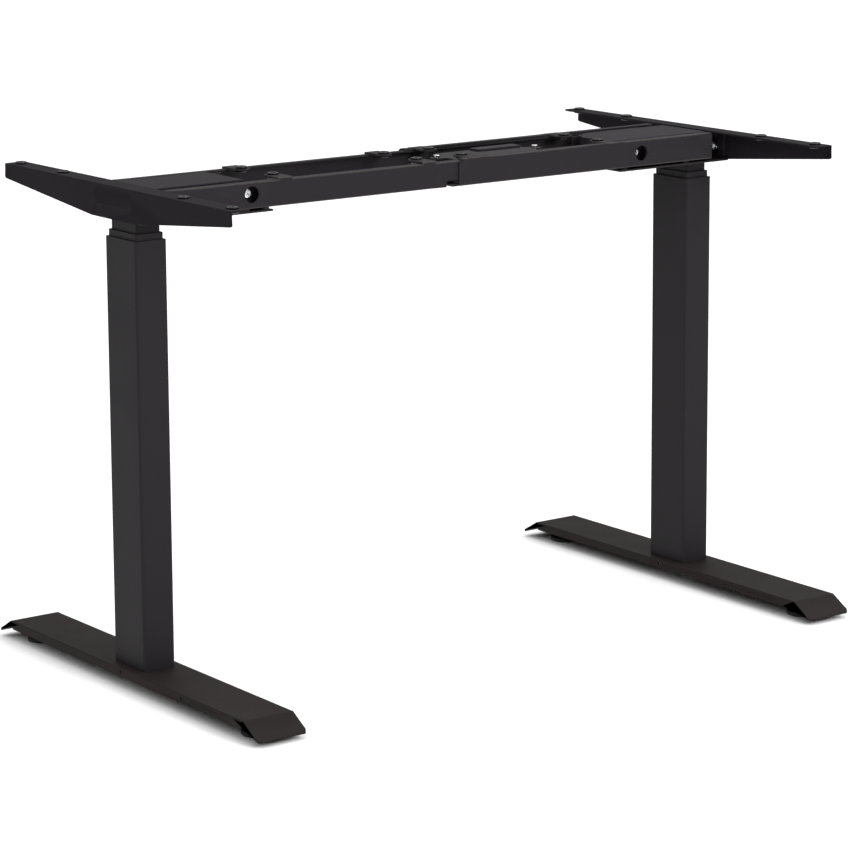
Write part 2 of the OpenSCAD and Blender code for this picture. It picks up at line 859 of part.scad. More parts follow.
module right_rail() {
    color(powder)
        difference() {
            union() {
                web(right_y, [
                    [right_rail_end, rail_z], [rail_far, rail_z],
                    [rail_far, rail_top], [right_rail_end, rail_top]], [0, 0, far_corner_r, near_corner_r]);
                box(right_rail_end + lip_near, rail_far - lip_far, right_y - rail_lip, right_y,
                    rail_top - rail_sheet, rail_top);
                box(right_rail_end - toe_len, rail_far, right_y - rail_flange, right_y,
                    rail_z, rail_z + rail_sheet);
                box(right_rail_end - toe_len, strap_near - strap_w / 2 - toe_lip_gap,
                    lock_y, lock_y + rail_sheet, rail_z, rail_z + toe_lip_h);
                box(lock_x - lock_lug_w / 2, lock_x + lock_lug_w / 2, lock_y, lock_y + rail_sheet,
                    rail_z, rail_z + lock_lug_h);
                tab(axis_x - tab_outer, right_y, rail_top);
                tab(right_rail_end + tab_inner, right_y, rail_top);
            }
            tab_hole(axis_x - tab_outer);
            tab_hole(right_rail_end + tab_inner);
            access_hole(axis_x - access_x, right_y, access_d);
            flange_bolt_holes(RIGHT);
            for (x = [strap_near, strap_far])
                translate([x, strap_screw_y, 0])
                    rod(small_bolt_d + thread_fit, rail_z - past, strap_z + past);
            translate([lock_x, lock_y - past, lock_z])
                rotate([-90, 0, 0])
                    cylinder(d = bolt_d + thread_fit, h = rail_sheet + 2 * past);
        }
}

module left_rail() {
    tongue_end = left_shoulder + tongue_len;
    tongue_z = rail_z + tongue_lift;
    color(powder)
        difference() {
            union() {
                web(left_y, [
                    [-rail_far, rail_z], [left_shoulder, rail_z], [left_shoulder, tongue_z],
                    [tongue_end, tongue_z], [tongue_end, left_rail_top], [-rail_far, left_rail_top]],
                    [0, shoulder_r, shoulder_r, tongue_corner_r, 0, far_corner_r]);
                box(-rail_far + lip_far, tongue_end, left_y - rail_lip, left_y,
                    left_rail_top - rail_sheet, left_rail_top);
                box(-rail_far, left_shoulder - shoulder_r, left_y - rail_flange, left_y,
                    rail_z, rail_z + rail_sheet);
                tab(-axis_x + tab_outer, left_y, left_rail_top);
                tab(left_shoulder - tab_inner, left_y, left_rail_top);
            }
            tab_hole(-axis_x + tab_outer);
            tab_hole(left_shoulder - tab_inner);
            access_hole(-axis_x + access_x, left_y, access_d);
            access_hole(axis_x - access_x, left_y, tongue_hole_d);
            flange_bolt_holes(LEFT);
        }
}

module left_rail_grommets() {
    rail_grommets(-axis_x + tab_outer, left_shoulder - tab_inner);
}

module right_rail_grommets() {
    rail_grommets(axis_x - tab_outer, right_rail_end + tab_inner);
}

module rail_grommets(outer, inner) {
    for (side = [FRONT, REAR], x = [outer, inner])
        translate([x, side * tab_y, 0])
            grommet();
}

module slide_locks() {
    color(steel)
        for (side = [FRONT, REAR])
            to_side(side)
                translate([lock_x, lock_y - lock_out, lock_z])
                    rotate([-90, 0, 0])
                        difference() {
                            cylinder(d = bolt_d, h = left_y - rail_sheet - turn_fit - lock_y + lock_out);
                            translate([0, 0, -past])
                                cylinder(d = bolt_d * socket_af, h = bolt_d * socket_deep, $fn = 6);
                        }
}

// ---------- control box ----------

module control_box() {
    color(gloss)
        difference() {
            union() {
                translate([(control_start + control_end) / 2, 0, control_z])
                    linear_extrude(control_h)
                        round_rect(control_len, control_w, control_corner);
                box(bar_x, bar_x + bar_len_x, bar_y, bar_y + bar_w,
                    control_top - skin, control_top + bar_h);
                for (x = [strap_near, strap_far])
                    translate([x, 0, 0])
                        rod(ear_w, control_top - ear_t, control_top);
                box(strap_near, strap_far, -ear_w / 2, ear_w / 2, control_top - ear_t, control_top);
            }
            for (x = [strap_near, strap_far])
                translate([x, 0, 0])
                    rod(small_bolt_d + hole_fit, control_top - ear_t - past, control_top + past);
            for (i = [0 : jack_count - 1])
                translate([control_start - past, (i - (jack_count - 1) / 2) * jack_pitch - jack_w / 2,
                    control_z + jack_rise])
                    cube([jack_depth + past, jack_w, jack_h]);
        }
}

module control_strap() {
    color(powder)
        for (x = [strap_near, strap_far])
            difference() {
                union() {
                    box(x - strap_w / 2, x + strap_w / 2, -strap_y, strap_y, strap_z, strap_z + strap_t);
                    translate([x, 0, 0])
                        rod(standoff_d, strap_z, control_top - ear_t);
                }
                translate([x, 0, 0])
                    rod(small_bolt_d + thread_fit, control_top - ear_t - standoff_bore, control_top);
                for (side = [FRONT, REAR])
                    translate([x, side * strap_screw_y, 0])
                        rod(small_bolt_d + hole_fit, strap_z - past, strap_z + strap_t + past);
            }
}

module control_screws() {
    color(zinc)
        for (x = [strap_near, strap_far]) {
            translate([x, 0, control_top])
                rotate([180, 0, 0])
                    socket_bolt(small_bolt_d, small_head_d, small_head_h, standoff_bore);
            for (side = [FRONT, REAR])
                translate([x, side * strap_screw_y, strap_z + strap_t])
                    rotate([180, 0, 0])
                        socket_bolt(small_bolt_d, small_head_d, small_head_h, strap_t + rail_sheet);
        }
}

at_side(LEFT) foot();  // left_foot
at_side(LEFT) outer_tube();  // left_outer_tube
at_side(LEFT) outer_guide();  // left_outer_guide
at_side(LEFT) base_post();  // left_base_post
at_side(LEFT) base_nut();  // left_base_nut
at_side(LEFT) foot_bolts();  // left_foot_bolts
at_side(LEFT) glide(FRONT);  // left_glide_front
at_side(LEFT) glide(REAR);  // left_glide_rear
at_side(LEFT) middle_tube();  // left_middle_tube
at_side(LEFT) middle_guides();  // left_middle_guides
at_side(LEFT) middle_post();  // left_middle_post
at_side(LEFT) middle_nut();  // left_middle_nut
at_side(LEFT) hollow_screw();  // left_hollow_screw
at_side(LEFT) inner_tube();  // left_inner_tube
at_side(LEFT) inner_guide();  // left_inner_guide
at_side(LEFT) tray();  // left_tray
at_side(LEFT) gearbox();  // left_gearbox
at_side(LEFT) motor();  // left_motor
at_side(LEFT) left_motor_cover();
at_side(LEFT) arm();  // left_arm
at_side(LEFT) arm_bolts();  // left_arm_bolts
at_side(LEFT) arm_grommets();  // left_arm_grommets
to_side(FRONT) left_rail();  // left_rail_front
to_side(REAR) left_rail();  // left_rail_rear
left_rail_grommets();
at_side(LEFT) motor_bolts();  // left_motor_bolts
at_side(LEFT) rail_bolts();  // left_rail_bolts
at_side(LEFT) lead_screw();  // left_lead_screw
at_side(RIGHT) foot();  // right_foot
at_side(RIGHT) outer_tube();  // right_outer_tube
at_side(RIGHT) outer_guide();  // right_outer_guide
at_side(RIGHT) base_post();  // right_base_post
at_side(RIGHT) base_nut();  // right_base_nut
at_side(RIGHT) foot_bolts();  // right_foot_bolts
at_side(RIGHT) glide(FRONT);  // right_glide_front
at_side(RIGHT) glide(REAR);  // right_glide_rear
at_side(RIGHT) middle_tube();  // right_middle_tube
at_side(RIGHT) middle_guides();  // right_middle_guides
at_side(RIGHT) middle_post();  // right_middle_post
at_side(RIGHT) middle_nut();  // right_middle_nut
at_side(RIGHT) hollow_screw();  // right_hollow_screw
at_side(RIGHT) inner_tube();  // right_inner_tube
at_side(RIGHT) inner_guide();  // right_inner_guide
at_side(RIGHT) tray();  // right_tray
at_side(RIGHT) gearbox();  // right_gearbox
at_side(RIGHT) motor();  // right_motor
at_side(RIGHT) right_motor_cover();
at_side(RIGHT) arm();  // right_arm
at_side(RIGHT) arm_bolts();  // right_arm_bolts
at_side(RIGHT) arm_grommets();  // right_arm_grommets
to_side(FRONT) right_rail();  // right_rail_front
to_side(REAR) right_rail();  // right_rail_rear
right_rail_grommets();
at_side(RIGHT) motor_bolts();  // right_motor_bolts
at_side(RIGHT) rail_bolts();  // right_rail_bolts
at_side(RIGHT) lead_screw();  // right_lead_screw
slide_locks();
control_box();
control_strap();
control_screws();
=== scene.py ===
import json
import math

import bmesh
import bpy
from mathutils import Matrix, Vector


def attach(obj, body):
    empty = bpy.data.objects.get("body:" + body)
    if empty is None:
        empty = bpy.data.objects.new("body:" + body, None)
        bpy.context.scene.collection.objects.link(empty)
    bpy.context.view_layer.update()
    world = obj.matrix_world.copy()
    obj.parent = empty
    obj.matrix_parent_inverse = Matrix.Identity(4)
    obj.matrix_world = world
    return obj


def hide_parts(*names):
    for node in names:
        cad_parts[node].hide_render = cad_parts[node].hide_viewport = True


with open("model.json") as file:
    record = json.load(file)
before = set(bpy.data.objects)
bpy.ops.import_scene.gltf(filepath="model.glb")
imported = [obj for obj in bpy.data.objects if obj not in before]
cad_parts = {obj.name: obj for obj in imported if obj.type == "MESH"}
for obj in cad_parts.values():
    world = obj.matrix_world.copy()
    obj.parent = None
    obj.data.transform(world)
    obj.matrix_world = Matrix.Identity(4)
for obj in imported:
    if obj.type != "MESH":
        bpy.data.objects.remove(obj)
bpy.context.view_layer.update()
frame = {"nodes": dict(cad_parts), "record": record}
NODES = frame["nodes"]
RECORD = frame["record"]
SLOT_OF = {s["node"]: s["material_slot"] for s in RECORD["subparts"]}
BODY_OF = {n: b for b, members in RECORD["behaviour"]["bodies"].items() for n in members}
MM = 0.001
WELD = 0.000002             # points nearer than this, in metres, are one point
CUT_TOLERANCE = 0.000001    # a point this near a cutting plane, in metres, lies on it
FLAT_ANGLE = 0.6            # faces that meet at less, in degrees, are one flat face
NOISE_LOW, NOISE_HIGH = 0.3, 0.7    # where nearly all of a noise texture's values lie
SIDES = ("left", "right")


# ---------------------------------------------------------------- camera
CAMERA_PLACE = (-2.8233, -3.8502, 1.3435)
CAMERA_AZIMUTH, CAMERA_ELEVATION, CAMERA_ROLL = -36.245, 10.515, -0.327


def make_camera():
    azimuth, elevation, roll = (math.radians(a) for a in (CAMERA_AZIMUTH, CAMERA_ELEVATION, CAMERA_ROLL))
    level_part = math.cos(elevation)
    back = Vector((math.sin(azimuth) * level_part, -math.cos(azimuth) * level_part, math.sin(elevation)))
    level = (-back).cross(Vector((0, 0, 1))).normalized()
    rise = level.cross(-back)
    right = level * math.cos(roll) + rise * math.sin(roll)
    up = rise * math.cos(roll) - level * math.sin(roll)
    data = bpy.data.cameras.new("camera")
    data.sensor_width = 36
    data.lens = 140.98
    data.shift_y = -0.12
    data.clip_end = 200
    camera = bpy.data.objects.new("camera", data)
    bpy.context.scene.collection.objects.link(camera)
    turn = Matrix((right, up, back)).transposed().to_4x4()
    camera.matrix_world = Matrix.Translation(CAMERA_PLACE) @ turn
    bpy.context.scene.camera = camera


make_camera()


# ---------------------------------------------------------------- materials
class Nodes:
    """A short way to write a material's node tree."""

    def __init__(self, name):
        self.material = bpy.data.materials.new(name)
        self.material.use_nodes = True
        self.tree = self.material.node_tree
        self.shader = self.tree.nodes["Principled BSDF"]
        self.coord = self.add("ShaderNodeTexCoord").outputs["Object"]

    def add(self, kind, **settings):
        node = self.tree.nodes.new(kind)
        for key, value in settings.items():
            if hasattr(node, key):
                setattr(node, key, value)
            else:
                node.inputs[key].default_value = value
        return node

    def link(self, a, b):
        self.tree.links.new(a, b)

    def noise(self, scale, detail=3.0, stretch=None):
        source = self.coord
        if stretch:
            mapping = self.add("ShaderNodeMapping", Scale=stretch)
            self.link(source, mapping.inputs["Vector"])
            source = mapping.outputs["Vector"]
        node = self.add("ShaderNodeTexNoise", Scale=scale, Detail=detail, Roughness=0.55)
        self.link(source, node.inputs["Vector"])
        return node.outputs["Fac"]

    def half(self, value):
        node = self.add("ShaderNodeMath", operation="MULTIPLY")
        self.link(value, node.inputs[0])
        node.inputs[1].default_value = 0.5
        return node.outputs[0]

    def mean(self, a, b):
        node = self.add("ShaderNodeMath", operation="ADD")
        self.link(self.half(a), node.inputs[0])
        self.link(self.half(b), node.inputs[1])
        return node.outputs[0]

    def ramp(self, fac, colours):
        node = self.add("ShaderNodeValToRGB")
        ends = node.color_ramp.elements
        for end, position, colour in zip(ends, (NOISE_LOW, NOISE_HIGH), colours):
            end.position = position
            end.color = (*colour, 1.0)
        self.link(fac, node.inputs["Fac"])
        return node.outputs["Color"]

    def spread(self, fac, low, high):
        node = self.add("ShaderNodeMapRange")
        node.inputs["From Min"].default_value = NOISE_LOW
        node.inputs["From Max"].default_value = NOISE_HIGH
        node.inputs["To Min"].default_value = low
        node.inputs["To Max"].default_value = high
        self.link(fac, node.inputs["Value"])
        return node.outputs["Result"]

    def bump(self, height, strength, distance, before=None):
        node = self.add("ShaderNodeBump", Strength=strength, Distance=distance)
        self.link(height, node.inputs["Height"])
        if before:
            self.link(before, node.inputs["Normal"])
        return node.outputs["Normal"]


WAVE_SCALE = 60.0
COAT_ROUGHNESS = 0.15


def finish_material(name, colour, roughness, metallic=0.0, specular=0.5, vary=0.12, rough_vary=0.05,
                    grain=700.0, grain_depth=0.00003, patch=9.0, stretch=None, coat=0.0, wave_depth=0.0):
    """One procedural finish: patchy colour and roughness, and a fine grain in relief. grain and patch are
    noise scales, grain_depth and wave_depth are depths of relief in metres."""
    n = Nodes(name)
    patches = n.noise(patch, 4.0)
    fine = n.noise(grain, 2.0, stretch)
    low = tuple(c * (1 - vary) for c in colour)
    high = tuple(min(1.0, c * (1 + vary)) for c in colour)
    n.link(n.ramp(n.mean(fine, patches), (low, high)), n.shader.inputs["Base Color"])
    n.link(n.spread(patches, roughness - rough_vary, roughness + rough_vary), n.shader.inputs["Roughness"])
    relief = n.bump(fine, 1.0, grain_depth)
    if wave_depth:
        relief = n.bump(n.noise(WAVE_SCALE, 2.0), 1.0, wave_depth, relief)
    n.link(relief, n.shader.inputs["Normal"])
    n.shader.inputs["Metallic"].default_value = metallic
    n.shader.inputs["Specular IOR Level"].default_value = specular
    n.shader.inputs["Coat Weight"].default_value = coat
    n.shader.inputs["Coat Roughness"].default_value = COAT_ROUGHNESS
    return n.material


FINISH = {
    "powder_black": finish_material("powder_black", (0.0175, 0.0158, 0.0175), 0.52, specular=0.08, vary=0.07,
                                    grain=900.0, grain_depth=0.000014, wave_depth=0.00002),
    # Bend faces of rails, tray and strap: lighter than powder_black, a painted highlight along the bends on
    # top of their real sheen
    "powder_edge": finish_material("powder_edge", (0.032, 0.028, 0.027), 0.40, specular=0.14, vary=0.10,
                                   grain=900.0, grain_depth=0.000012),
    # The arms' powder coat: a darker copy of powder_black, painted shade
    "powder_arm": finish_material("powder_arm", (0.0125, 0.0108, 0.0127), 0.60, specular=0.04, vary=0.07,
                                  grain=900.0, grain_depth=0.000014, wave_depth=0.00002),
    "foot_black": finish_material("foot_black", (0.0176, 0.0139, 0.0137), 0.55, specular=0.05, vary=0.07,
                                  grain=900.0, grain_depth=0.000014, wave_depth=0.00002),
    "rubber_black": finish_material("rubber_black", (0.014, 0.0135, 0.0145), 0.55, specular=0.30, vary=0.25,
                                    grain=500.0, grain_depth=0.00005),
    "grommet_rubber": finish_material("grommet_rubber", (0.007, 0.0062, 0.0068), 0.26, specular=0.32,
                                      vary=0.2, grain=600.0, grain_depth=0.00002, coat=0.1),
    "guide_black": finish_material("guide_black", (0.012, 0.012, 0.012), 0.50, specular=0.30, vary=0.2,
                                   grain=420.0, grain_depth=0.00003),
    "nylon_white": finish_material("nylon_white", (0.72, 0.70, 0.63), 0.45, vary=0.06, grain=300.0,
                                   grain_depth=0.00003),
    "cover_black": finish_material("cover_black", (0.0152, 0.0128, 0.0150), 0.45, specular=0.05, vary=0.08,
                                   grain=1200.0, grain_depth=0.00001),
    "box_black": finish_material("box_black", (0.0160, 0.0142, 0.0160), 0.45, specular=0.10, vary=0.12,
                                 grain=1000.0, grain_depth=0.000025),
    "zinc": finish_material("zinc", (0.72, 0.73, 0.74), 0.24, metallic=1.0, vary=0.10, rough_vary=0.08,
                            grain=500.0, grain_depth=0.00001, patch=120.0),
    "machined_steel": finish_material("machined_steel", (0.50, 0.51, 0.52), 0.30, metallic=1.0, vary=0.12,
                                      rough_vary=0.08, grain=40.0, grain_depth=0.00001, patch=40.0,
                                      stretch=(1.0, 1.0, 40.0)),
    "motor_steel": finish_material("motor_steel", (0.36, 0.36, 0.37), 0.36, metallic=1.0, vary=0.10,
                                   rough_vary=0.08, grain=40.0, grain_depth=0.00001, patch=30.0,
                                   stretch=(40.0, 1.0, 1.0)),
    "cast_alloy": finish_material("cast_alloy", (0.46, 0.47, 0.48), 0.50, metallic=1.0, vary=0.12,
                                  rough_vary=0.08, grain=350.0, grain_depth=0.00008, patch=60.0),
}


# ---------------------------------------------------------------- mesh helpers
FLAT_WEIGHT = 100           # large flat faces keep their own shading, and the bends take the blend
SHORTEST_BEND = 0.5         # in millimetres
BEND_ANGLE, EDGE_ANGLE = 25.0, 55.0     # least angles of a bend and of a cut edge, in degrees
RIM_ANGLE, COVER_EDGE_ANGLE = 60.0, 70.0


def add_piece(name, bm, materials, body, replaces=(), smooth=35.0):
    """Turns bm into an object that rides on body and may stand for CAD nodes.
    Edges over smooth degrees stay sharp."""
    mesh = bpy.data.meshes.new(name)
    bm.to_mesh(mesh)
    bm.free()
    for material in materials:
        mesh.materials.append(FINISH[material])
    mesh.polygons.foreach_set("use_smooth", [True] * len(mesh.polygons))
    mesh.set_sharp_from_angle(angle=math.radians(smooth))
    piece = bpy.data.objects.new(name, mesh)
    bpy.context.scene.collection.objects.link(piece)
    flat = piece.modifiers.new("flat_faces", "WEIGHTED_NORMAL")
    flat.weight = FLAT_WEIGHT
    flat.keep_sharp = True
    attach(piece, body)
    if replaces:
        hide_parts(*replaces)


def reach(face, edge):
    """How far a face extends away from one of its edges."""
    start = edge.verts[0].co
    along = (edge.verts[1].co - start).normalized()
    return max((v.co - start - along * (v.co - start).dot(along)).length for v in face.verts)


def convex_edges(bm, least):
    return [e for e in bm.edges if len(e.link_faces) == 2 and e.is_convex
            and e.calc_face_angle() > math.radians(least)]


def clean_copy(node, splits=None):
    """A CAD node's mesh with its flat faces made whole, but kept divided where a plane of splits crosses
    them. A plane through a hole spares the face a hole. splits gives places in millimetres for each axis."""
    bm = bmesh.new()
    bm.from_mesh(NODES[node].data)
    bmesh.ops.remove_doubles(bm, verts=bm.verts, dist=WELD)
    for axis, places in (splits or {}).items():
        normal = Vector((0, 0, 0))
        normal[axis] = 1
        for place in places:
            parts = list(bm.verts) + list(bm.edges) + list(bm.faces)
            cut = bmesh.ops.bisect_plane(bm, geom=parts, dist=CUT_TOLERANCE, plane_co=normal * place * MM,
                                         plane_no=normal)
            for line in cut["geom_cut"]:
                if isinstance(line, bmesh.types.BMEdge):
                    line.seam = True
    bmesh.ops.dissolve_limit(bm, angle_limit=math.radians(FLAT_ANGLE), verts=bm.verts, edges=bm.edges,
                             delimit={"SEAM"})
    return bm


def round_edges(bm, edges, radius, segments, clamp=False, material=1):
    if radius and edges:
        bmesh.ops.bevel(bm, geom=edges, offset=radius * MM, offset_type="OFFSET", segments=segments,
                        profile=0.5, affect="EDGES", clamp_overlap=clamp, material=material)


def pressed_copy(node, bend, edge, splits=None, wide=4.5, segments=4, material=1):
    """A copy of a CAD node as it leaves the press: faces over wide meet in bends, and the other edges are
    just broken. bend and edge are radii in millimetres."""
    bm = clean_copy(node, splits)
    bends = [e for e in convex_edges(bm, BEND_ANGLE) if e.calc_length() > SHORTEST_BEND * MM
             and min(reach(f, e) for f in e.link_faces) > wide * MM]
    round_edges(bm, bends, bend, segments, material=material)
    round_edges(bm, convex_edges(bm, EDGE_ANGLE), edge, 2, clamp=True, material=material)
    return bm


def moulded_copy(node, rim, edge):
    """A copy of a moulded cover: its top rolls over into its walls, all round but at the open end."""
    bm = clean_copy(node)
    top = max(v.co.z for v in bm.verts)
    end = max(abs(v.co.x) for v in bm.verts)
    outline = [e for e in convex_edges(bm, RIM_ANGLE) if all(top - v.co.z < WELD for v in e.verts)
               and any(end - abs(v.co.x) > WELD for v in e.verts)]
    round_edges(bm, outline, rim, 6, material=0)
    round_edges(bm, convex_edges(bm, COVER_EDGE_ANGLE), edge, 2, clamp=True, material=0)
    return bm


def lathe(bm, profile, matrix, count=48, closed=False, end_material=0):
    """Turns a profile of (radius, height) round Z. A radius may be a function of the angle.
    closed joins the last ring to the first; otherwise both ends are capped."""
    loops = []
    for radius, height in profile:
        ring = []
        for i in range(count):
            angle = 2 * math.pi * i / count
            r = radius(angle) if callable(radius) else radius
            ring.append(bm.verts.new(matrix @ Vector((r * math.cos(angle), r * math.sin(angle), height))))
        loops.append(ring)
    pairs = list(zip(loops, loops[1:])) + ([(loops[-1], loops[0])] if closed else [])
    for low, high in pairs:
        for i in range(count):
            j = (i + 1) % count
            bm.faces.new((low[i], low[j], high[j], high[i]))
    if not closed:
        bm.faces.new(loops[0][::-1])
        bm.faces.new(loops[-1]).material_index = end_material


def arc(cx, cz, r, start, end, steps=5):
    """Points of an arc in a profile, from one angle to another, in degrees."""
    return [(cx + r * math.cos(math.radians(start + (end - start) * i / steps)),
             cz + r * math.sin(math.radians(start + (end - start) * i / steps))) for i in range(steps + 1)]


def scaled(profile):
    """A profile in metres, from one in millimetres."""
    return [((lambda a, f=r: f(a) * MM) if callable(r) else r * MM, z * MM) for r, z in profile]


def hexagon(across):
    """Radius of a hexagon of that width across its flats, as a function of the angle."""
    return lambda angle: across / 2 / math.cos((angle % (math.pi / 3)) - math.pi / 6)


def towards(position, direction):
    """A matrix that puts Z along direction, at a position in millimetres."""
    turn = Vector((0, 0, 1)).rotation_difference(Vector(direction)).to_matrix().to_4x4()
    return Matrix.Translation(Vector(position) * MM) @ turn


# ---------------------------------------------------------------- carried-over CAD nodes
for node in NODES:
    NODES[node].data.materials.clear()
    NODES[node].data.materials.append(FINISH[SLOT_OF[node]])


# ---------------------------------------------------------------- sheet metal and covers
# Places of holes, bolts and other features of the frame, in millimetres
AXIS_X = 489.0              # a column's axis
SIGN = {"left": -1, "right": 1}
PAD_X = (AXIS_X - 49.0, AXIS_X - 169.0)
ACCESS_X = AXIS_X - 143.0
TAB_X = {"left": (-290.0, -44.0), "right": (37.0, 290.0)}
LOCK_X = 67.0
STRAP_X = (22.0, 202.0)
STRAP_Y = (-64.0, 64.0)
SOCKET_Y = (-25.5, -8.5, 8.5, 25.5)
ARM_BOLT_Y = (-45.0, 45.0)
ARM_HOLE_Y = (-157.0, 157.0, -275.0, 275.0)
FOOT_BOLT_X, FOOT_BOLT_Y = (-14.0, 14.0), (-27.0, 27.0)
FOOT_SPLIT_Y = (0.0, 157.0)     # through the middle vent, and across the plain rear half
GLIDE_Y = (-285.0, 285.0)


def rail_splits(side):
    """The planes across X through the holes of a side's rails."""
    own = [SIGN[side] * x for x in (*PAD_X, ACCESS_X)]
    other = [ACCESS_X] if side == "left" else [LOCK_X, *STRAP_X]
    return {0: [*own, *TAB_X[side], *other]}


def sheet_parts(side):
    """Each sheet part's bend radius, edge radius, and the planes that divide its faces, in millimetres."""
    tray_x = [SIGN[side] * x for x in (AXIS_X, *PAD_X, ACCESS_X)]
    return {
        "foot": (2.2, 0.5, {1: (*FOOT_SPLIT_Y, *FOOT_BOLT_Y, *GLIDE_Y)}),
        "tray": (1.6, 0.4, {0: tray_x, 1: ARM_BOLT_Y}),
        "arm": (2.0, 0.5, {1: (*ARM_BOLT_Y, *ARM_HOLE_Y)}),
        "rail_front": (1.8, 0.4, rail_splits(side)),
        "rail_rear": (1.8, 0.4, rail_splits(side)),
        "outer_tube": (0.0, 0.35, None),
        "middle_tube": (0.0, 0.35, None),
        "inner_tube": (0.0, 0.35, None),
    }


def replace(node, suffix, bm, materials, smooth=35.0):
    """A piece that stands for a CAD node and takes its body."""
    add_piece(node + suffix, bm, materials, BODY_OF[node], (node,), smooth)


for side in SIDES:
    for part, (bend, edge, splits) in sheet_parts(side).items():
        node = f"{side}_{part}"
        # Arms take the darker copy of the powder coat, painted shade
        face = "powder_arm" if part == "arm" else SLOT_OF[node]
        # Rails and tray take the lighter bend finish, a painted highlight; feet and arms keep their own
        # colour on their bends
        trim = face if part in ("foot", "arm") else "powder_edge"
        replace(node, "_sheet", pressed_copy(node, bend, edge, splits), (face, trim))
    for part in ("outer_guide", "middle_guides", "inner_guide", "gearbox", "motor"):
        node = f"{side}_{part}"
        finish = SLOT_OF[node]
        replace(node, "_broken_edges", pressed_copy(node, 0.0, 0.3), (finish, finish))
    node = f"{side}_motor_cover"
    replace(node, "_moulded", moulded_copy(node, 2.0, 0.25), ("cover_black",))
box = pressed_copy("control_box", 2.0, 0.4, {1: (0.0, *SOCKET_Y)}, wide=3.4, segments=5, material=0)
replace("control_box", "_moulded", box, ("box_black",))
# The strap's bends take the painted highlight too
replace("control_strap", "_cut", pressed_copy("control_strap", 0.6, 0.3, {1: (0.0, *STRAP_Y)}),
        ("powder_black", "powder_edge"))


# ---------------------------------------------------------------- grommets
SHEET_TOP, SHEET = 706.0, 2.5
GROMMET_REACH = 0.02        # points of one grommet are nearer to each other than this, in metres


def grommet(bm, x, y):
    """A rubber grommet: a bulging lip over and under the sheet, and a bore with rounded mouths."""
    top, low = SHEET_TOP, SHEET_TOP - SHEET
    profile = [(3.25, low - 2.2), *arc(4.0, low - 2.25, 0.75, 180, 270, 3), (6.9, low - 3.0),
               *arc(7.0, low - 1.5, 1.5, 270, 450, 6), (6.1, low - 0.02), (6.0, low + 0.3), (6.0, top - 0.3),
               (6.1, top + 0.02), *arc(7.0, top + 1.5, 1.5, -90, 80, 6), (5.6, top + 2.95), (5.0, top + 3.0),
               *arc(4.2, top + 2.05, 0.95, 90, 180, 4)]
    lathe(bm, scaled(profile), Matrix.Translation((x * MM, y * MM, 0)), 48, closed=True)


def grommet_places(node):
    """Centres of the solids of a grommet node, in millimetres."""
    groups = []
    for vertex in NODES[node].data.vertices:
        point = vertex.co.xy
        for group in groups:
            if (point - group[0]).length < GROMMET_REACH:
                group.append(point)
                break
        else:
            groups.append([point])
    centres = []
    for group in groups:
        xs, ys = [p.x for p in group], [p.y for p in group]
        centres.append(((min(xs) + max(xs)) / 2 / MM, (min(ys) + max(ys)) / 2 / MM))
    return centres


for side in SIDES:
    for part in ("arm_grommets", "rail_grommets"):
        node = f"{side}_{part}"
        bm = bmesh.new()
        for x, y in grommet_places(node):
            grommet(bm, x, y)
        replace(node, "_lipped", bm, ("grommet_rubber",), smooth=60.0)


# ---------------------------------------------------------------- screws
SCREW_SMOOTH = 32.0
KNURLS, KNURL_DEPTH = 36, 0.12
SOCKET_SHARE = 0.48         # width of a hex socket, as a share of its screw's head
# Head diameter, head height and shank diameter, in millimetres
LOW_M8 = (13.0, 6.0, 8.0)
HIGH_M8 = (13.0, 8.0, 8.0)
LOW_M6 = (10.0, 4.0, 6.0)


def knurl(radius):
    """Radius of a knurled head, as a function of the angle."""
    return lambda angle: radius - KNURL_DEPTH * (0.5 + 0.5 * math.cos(KNURLS * angle))


def thread(radius, start, end, pitch=1.25):
    """The crests and roots of a thread, as points of a profile from one height to another."""
    points = []
    for i in range(int((end - start) / pitch)):
        z = start + i * pitch
        points += [(radius, z + 0.2), (radius - 0.35, z + 0.62), (radius, z + 1.05)]
    return points


def socket_screw(bm, head, head_h, shank, shank_len, matrix):
    """A socket head screw: chamfered and knurled head, hex recess, and a shank with rounded thread crests.
    The head's seat is at z = 0 and the head stands on the -Z side."""
    r = head / 2
    socket = head * SOCKET_SHARE
    profile = [(hexagon(socket), -head_h * 0.45), (hexagon(socket), -head_h + 0.25),
               (hexagon(socket * 1.12), -head_h), (r - 1.0, -head_h), (r - 0.3, -head_h + 0.35),
               (knurl(r), -head_h + 0.8), (knurl(r), -0.5), (r - 0.25, -0.15), (r - 0.3, 0.0),
               (shank / 2, 0.0), *thread(shank / 2, 0.0, shank_len), (shank / 2 - 0.6, shank_len)]
    lathe(bm, scaled(profile), matrix, 72, end_material=1)


def screw_group(node, size, places):
    """Turned screws in place of a CAD node's. Each place is a seat, the way its shank points and its
    shank's length."""
    bm = bmesh.new()
    for seat, way, shank_len in places:
        socket_screw(bm, *size, shank_len, towards(seat, way))
    replace(node, "_turned", bm, (SLOT_OF[node], "powder_black"), smooth=SCREW_SMOOTH)


UP, DOWN = (0, 0, 1), (0, 0, -1)
FOOT_BOLT_SEAT_Z = 27.5
ARM_BOLT_SEAT_X, ARM_BOLT_Z = 520.0, 680.0
MOTOR_BOLT_SEAT_Y, MOTOR_BOLT_Z = 54.0, 686.0
RAIL_BOLT_Y, RAIL_BOLT_SEAT_Z = 62.0, 668.7
BOX_SCREW_SEAT_Z, STRAP_SCREW_SEAT_Z = 698.7, 670.7
PAINTED_END = [(4.0, 3.6), (4.2, 3.8), (4.2, 4.85), (4.0, 5.0)]

